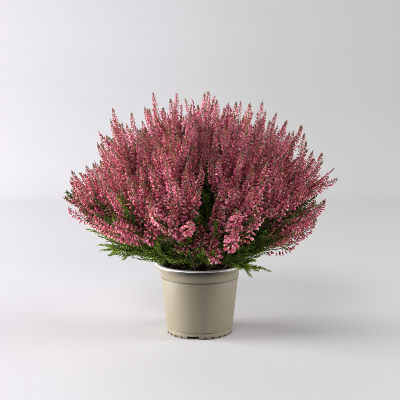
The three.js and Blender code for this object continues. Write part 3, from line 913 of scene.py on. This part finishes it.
def clear_of_pot(curve):
    """True if a side shoot keeps over the peat and the lip, or hangs outside the lip."""
    points = curve.at(np.linspace(0.3, 1, 6))
    radius = np.linalg.norm(points[:, :2], axis=1)
    front = np.clip((-points[:, 1] / np.maximum(radius, 1) - 0.5) * 3, 0, 1)
    front = front * np.clip((radius - 36) / 10, 0, 1)
    least = np.where(radius < LIP_RADIUS + 3, POT_HEIGHT + 2.5 + 7 * front, POT_HEIGHT - 16 + 28 * front)
    return bool((points[:, 2] > least).all())


WITHERED_FROM = 205


def side_leaves(leaves, stem, first, last, count, rng, tone, length, spread, reach, pitch, rise,
                shape=LEAFLET, withered=None):
    """Short leafy shoots round a stretch of a stem, turned so that they keep clear of the pot, with painted
    shade: darker up among the flowers. rise is how far at least they end above their foot. withered takes
    those that end high up, as old flowers instead of leaves."""
    for j in range(count):
        at = mix(first, last, (j + rng.uniform(0, 0.8)) / count)
        for attempt in range(8):
            bearing = GOLDEN_TURN * (j + 1.7 * attempt) + rng.normal(0, 0.4)
            side = stem.branch(at, bearing, rng.uniform(*length), rng.uniform(*spread))
            if clear_of_pot(side) and side.points[-1][2] - side.points[0][2] > rise:
                girth = reach * rng.uniform(0.85, 1.15)
                # Painted shade: the higher a side shoot's foot, up among the flowers, the darker its leaves.
                shade = 0.35 * np.clip((side.points[0][2] - 150) / 60, 0, 1)
                if withered and side.points[-1][2] > WITHERED_FROM:
                    leafy_shoot(withered, side, rng, rng.uniform(0.24, 0.5), girth, pitch, shape)
                else:
                    leafy_shoot(leaves, side, rng, tone - shade + rng.normal(0, 0.2), girth, pitch, shape)
                break


def in_full_bloom(curve):
    """How far a spike is one of those low in front, whose flowers are larger and more open, and are given a
    lighter tone as painted light.
    """
    x, y, z = curve.points[-1]
    return float(np.clip((240 - z) / 25, 0, 1) * np.clip((-y / max(math.hypot(x, y), 1) - 0.7) * 6, 0, 1))


def paleness_as_painted_light(curve):
    """How much a spike's flowers are painted paler, as painted light on the shaded spikes high up in the
    middle and a little on the right side; none low down.
    """
    x, y, z = curve.points[-1]
    middle = 0.28 * np.clip((120 - math.hypot(x - 22, y)) / 80, 0, 1) + 0.06 * np.clip(x / 60, 0, 1)
    return float(middle * np.clip((z - 205) / 40, 0, 1))


def make_shoot(number, shoot):
    rng = np.random.default_rng(1000 + number)
    stem, start, ring = shoot["stem"], shoot["start"], RINGS.index(shoot["ring"])
    buds, tips, leaves = Growth(), Growth(), Growth()
    own_tone = rng.uniform(0.4, 0.6)
    # Painted light: spikes high up in the middle and on the right are given a paler tone.
    flower_spike(buds, tips, stem, start + 2 / stem.length, rng, 1.1, own_tone + paleness_as_painted_light(stem))
    for curve in shoot["spikes"]:
        height = curve.points[-1][2]
        size = np.interp(height, (190, 260), (1.3, 1.0))
        opened = np.interp(height, (190, 240), (0.25, 0.07))
        full = in_full_bloom(curve)
        # Painted light: a lighter tone for spikes high up in the middle and on the right, and for those low
        # in front.
        tone = own_tone + paleness_as_painted_light(curve) + 0.05 * full + rng.normal(0, 0.08)
        flower_spike(buds, tips, curve, 0.12, rng, size * (1 + 0.1 * full), tone, opened + 0.25 * full)
    for curve, begun in shoot["extra"]:
        height = curve.points[-1][2]
        size = np.interp(height, (190, 260), (1.3, 0.95)) * rng.uniform(0.9, 1.1)
        opened = np.interp(height, (190, 240), (0.25, 0.05))
        full = in_full_bloom(curve)
        # Painted light: a lighter tone for spikes high up in the middle and on the right, and for those low
        # in front.
        tone = own_tone + paleness_as_painted_light(curve) + 0.06 * full + rng.normal(0, 0.1)
        flower_spike(buds, tips, curve, begun, rng, size * (1 + 0.12 * full), tone, opened + 0.25 * full)
        buds.stalk(curve, 0, begun, (0.65, 0.6), 5, sides=3)
        leaves_along(leaves, curve, 0.05, begun + 0.04, rng, 0.12, 1.15, 1.3, radius=0.4)
    for growth in (buds, tips):
        growth.points = [inside(p) for p in growth.points]

    wood = WOOD_LENGTH / stem.length
    leaves.stalk(stem, 0.002, wood, (STEM_FOOT, STEM_FOOT * 0.9), 4, sides=6, finish=2)
    leaves.stalk(stem, wood, start, (STEM_FOOT * 0.9, 0.7), 14, sides=5, finish=2)
    tone = rng.uniform(0.3, 0.55)
    leaves_along(leaves, stem, BARE_LENGTH / stem.length, start + 0.03, rng, tone, reach=1.15, radius=0.7)
    for curve in shoot["sides"]:
        leafy_shoot(leaves, curve, rng, tone + 0.05, reach=1.1)
    side_leaves(leaves, stem, 0.07, 0.2, 9, rng, tone, (22, 40), (16, 36), 1.35, 0.9, 5)
    side_leaves(leaves, stem, 0.16, start, 26, rng, tone, (26, 46), (12, 34), 1.45, 1.3, 2)
    # Painted shade: the leaves inside the plant and among the flowers are given a darker tone.
    side_leaves(leaves, stem, 0.2, start, 13, rng, tone - 0.25, (36, 60), (16, 40), 1.7, 1.6, 14, INNER_LEAF)
    among_flowers = 19 if ring > 1 else 30
    side_leaves(leaves, stem, start - 0.05, mix(start, 1, 0.5), among_flowers, rng, tone - 0.4,
                (34, 54), (12, 32), 1.7, 1.6, 14, INNER_LEAF, buds)
    leaves.points = [inside(p) for p in leaves.points]
    name = f"{number + 1:02d}"
    stands_for(buds.made(f"spray_{name}_blossom", [BLOSSOM, TWIG]), "blossom", f"flower_spray_{name}")
    stands_for(tips.made(f"spray_{name}_shoot_tips", [LEAF, TWIG]), "foliage")
    stands_for(leaves.made(f"stem_{name}_foliage", [LEAF, TWIG, WOOD]), "foliage", f"leafy_stem_{name}")


def make_low_shoot(number, low):
    rng = np.random.default_rng(2000 + number)
    stem, leaves = low["stem"], Growth()
    wood = WOOD_LENGTH / stem.length
    leaves.stalk(stem, 0.002, wood, (STEM_FOOT, STEM_FOOT * 0.8), 4, sides=6, finish=2)
    leaves.stalk(stem, wood, 1, (STEM_FOOT * 0.8, 0.45), 16, sides=5, finish=2)
    tone = rng.uniform(0.45, 0.65)
    leaves_along(leaves, stem, BARE_LENGTH / stem.length, 1, rng, tone, pitch=0.7, reach=1.5, radius=0.7)
    for curve in low["sides"]:
        leafy_shoot(leaves, curve, rng, tone, reach=1.5)
    rise = -99 if number == HANGING else 3
    side_leaves(leaves, stem, 0.28, 0.95, 20, rng, tone, (14, 26), (7, 20), 1.5, 0.9, rise)
    name = f"{number + 1:02d}"
    stands_for(leaves.made(f"low_{name}_foliage", [LEAF, TWIG, WOOD]), "foliage", f"low_shoot_{name}")


make_pot()
make_peat()
make_crumbs()
for number, shoot in enumerate(place_spikes(grow_shoots())):
    make_shoot(number, shoot)
for number, low in enumerate(grow_low_shoots()):
    make_low_shoot(number, low)


# ---- Floor, light and camera ----


# The sweep behind the floor: where it starts, its radius, its steps and the height of the wall over it.
SWEEP_FROM, SWEEP_RADIUS, SWEEP_STEPS, WALL_HEIGHT = 1.4, 0.6, 10, 2.6
FLOOR_SIZE = 4


def make_stage():
    """A pale floor that curves up into a backdrop behind the plant."""
    paper = Nodes("stage_paper", roughness=0.9)
    axes = paper.put("ShaderNodeSeparateXYZ", {0: paper.place()}).outputs
    # Plain graded paper: nearly even on the floor, darker up the curve, and a little darker to the right,
    # which is painted shade.
    away = paper.maths("MULTIPLY", paper.maths("ADD", axes["Y"], 0.4), 0.4)
    colour = paper.ramp(away, (0.2, 0.75), (0.36, 0.7), (0.72, 0.78), (0.96, 0.44))
    across = paper.maths("ADD", axes["X"], 0.5)
    side = paper.ramp(across, (0.3, (0.96, 0.947, 1.0)), (0.7, (0.92, 0.92, 0.925)))
    tint = paper.blend(paper.noise(3, 2), (1, 1, 1), (0.975, 0.975, 0.98))
    for shade in (side, tint):
        colour = paper.blend(1.0, colour, shade, "MULTIPLY")
    paper.link(colour, "Base Color")
    floor = begin(bpy.ops.mesh.primitive_plane_add, "floor", size=FLOOR_SIZE,
                  location=(0, SWEEP_FROM - FLOOR_SIZE / 2, 0))
    bpy.ops.object.transform_apply(location=True, rotation=True, scale=True)
    edit(floor)
    pick(floor, lambda co: co.y > SWEEP_FROM - 0.1)
    for k in range(SWEEP_STEPS):
        a, b = math.radians(90 / SWEEP_STEPS * k), math.radians(90 / SWEEP_STEPS * (k + 1))
        step = (0, SWEEP_RADIUS * (math.sin(b) - math.sin(a)), SWEEP_RADIUS * (math.cos(a) - math.cos(b)))
        bpy.ops.mesh.extrude_edges_move(TRANSFORM_OT_translate={"value": step})
    bpy.ops.mesh.extrude_edges_move(TRANSFORM_OT_translate={"value": (0, 0, WALL_HEIGHT)})
    leave()
    bpy.ops.object.shade_smooth()
    floor.data.materials.append(paper.material)


def softbox(name, place, target, size, power, colour=(1, 1, 1)):
    lamp = bpy.data.lights.new(name, "AREA")
    lamp.shape, lamp.energy, lamp.color = "RECTANGLE", power, colour
    lamp.size, lamp.size_y = size
    box = bpy.data.objects.new(name, lamp)
    bpy.context.scene.collection.objects.link(box)
    box.location = place
    box.rotation_euler = (Vector(target) - Vector(place)).to_track_quat("-Z", "Y").to_euler()
    box.visible_camera = False


make_stage()
softbox("key_left", (-2.4, 0.12, 0.35), (0, 0, 0.12), (1.5, 0.6), 158, (1, 0.99, 0.97))
softbox("front_left", (-0.9, -1.5, 1.8), (0, 0, 0.15), (1.4, 0.9), 30)
softbox("right", (2.6, -0.15, 0.35), (0, 0, 0.12), (1.4, 0.6), 44, (1, 0.985, 0.96))
softbox("right_high", (2.3, -0.1, 1.2), (0, 0, 0.12), (1.4, 0.8), 25)
softbox("back", (-0.8, 1.0, 2.2), (0, 0, 0.15), (1.6, 0.8), 8)

# The room is dim behind the camera, and pale where it is seen past the floor.
world = bpy.data.worlds.new("studio")
bpy.context.scene.world = world
world.use_nodes = True
tree = world.node_tree
dim, pale = tree.nodes["Background"], tree.nodes.new("ShaderNodeBackground")
choice = tree.nodes.new("ShaderNodeMixShader")
for room, colour, strength in ((dim, (0.85, 0.9, 1, 1), 0.01), (pale, (0.96, 0.96, 1, 1), 0.62)):
    room.inputs["Color"].default_value, room.inputs["Strength"].default_value = colour, strength
tree.links.new(tree.nodes.new("ShaderNodeLightPath").outputs["Is Camera Ray"], choice.inputs[0])
tree.links.new(dim.outputs[0], choice.inputs[1])
tree.links.new(pale.outputs[0], choice.inputs[2])
tree.links.new(choice.outputs[0], tree.nodes["World Output"].inputs["Surface"])

IMAGE_SIZE, FOCAL_LENGTH = 400, 738  # pixels
SENSOR = 36
CAMERA_PLACE, CAMERA_DIP = (0.0005, -0.989, 0.298), 6.76

lens = bpy.data.cameras.new("camera")
lens.sensor_width, lens.lens = SENSOR, FOCAL_LENGTH / IMAGE_SIZE * SENSOR
camera = bpy.data.objects.new("camera", lens)
bpy.context.scene.collection.objects.link(camera)
camera.location = CAMERA_PLACE
camera.rotation_euler = (math.radians(90 - CAMERA_DIP), 0, 0)
bpy.context.scene.camera = camera
bpy.context.scene.view_settings.view_transform = "Standard"
cycles = bpy.context.scene.cycles
cycles.max_bounces, cycles.diffuse_bounces, cycles.glossy_bounces = 5, 3, 2
cycles.filter_width, cycles.denoising_prefilter = 0.8, "NONE"
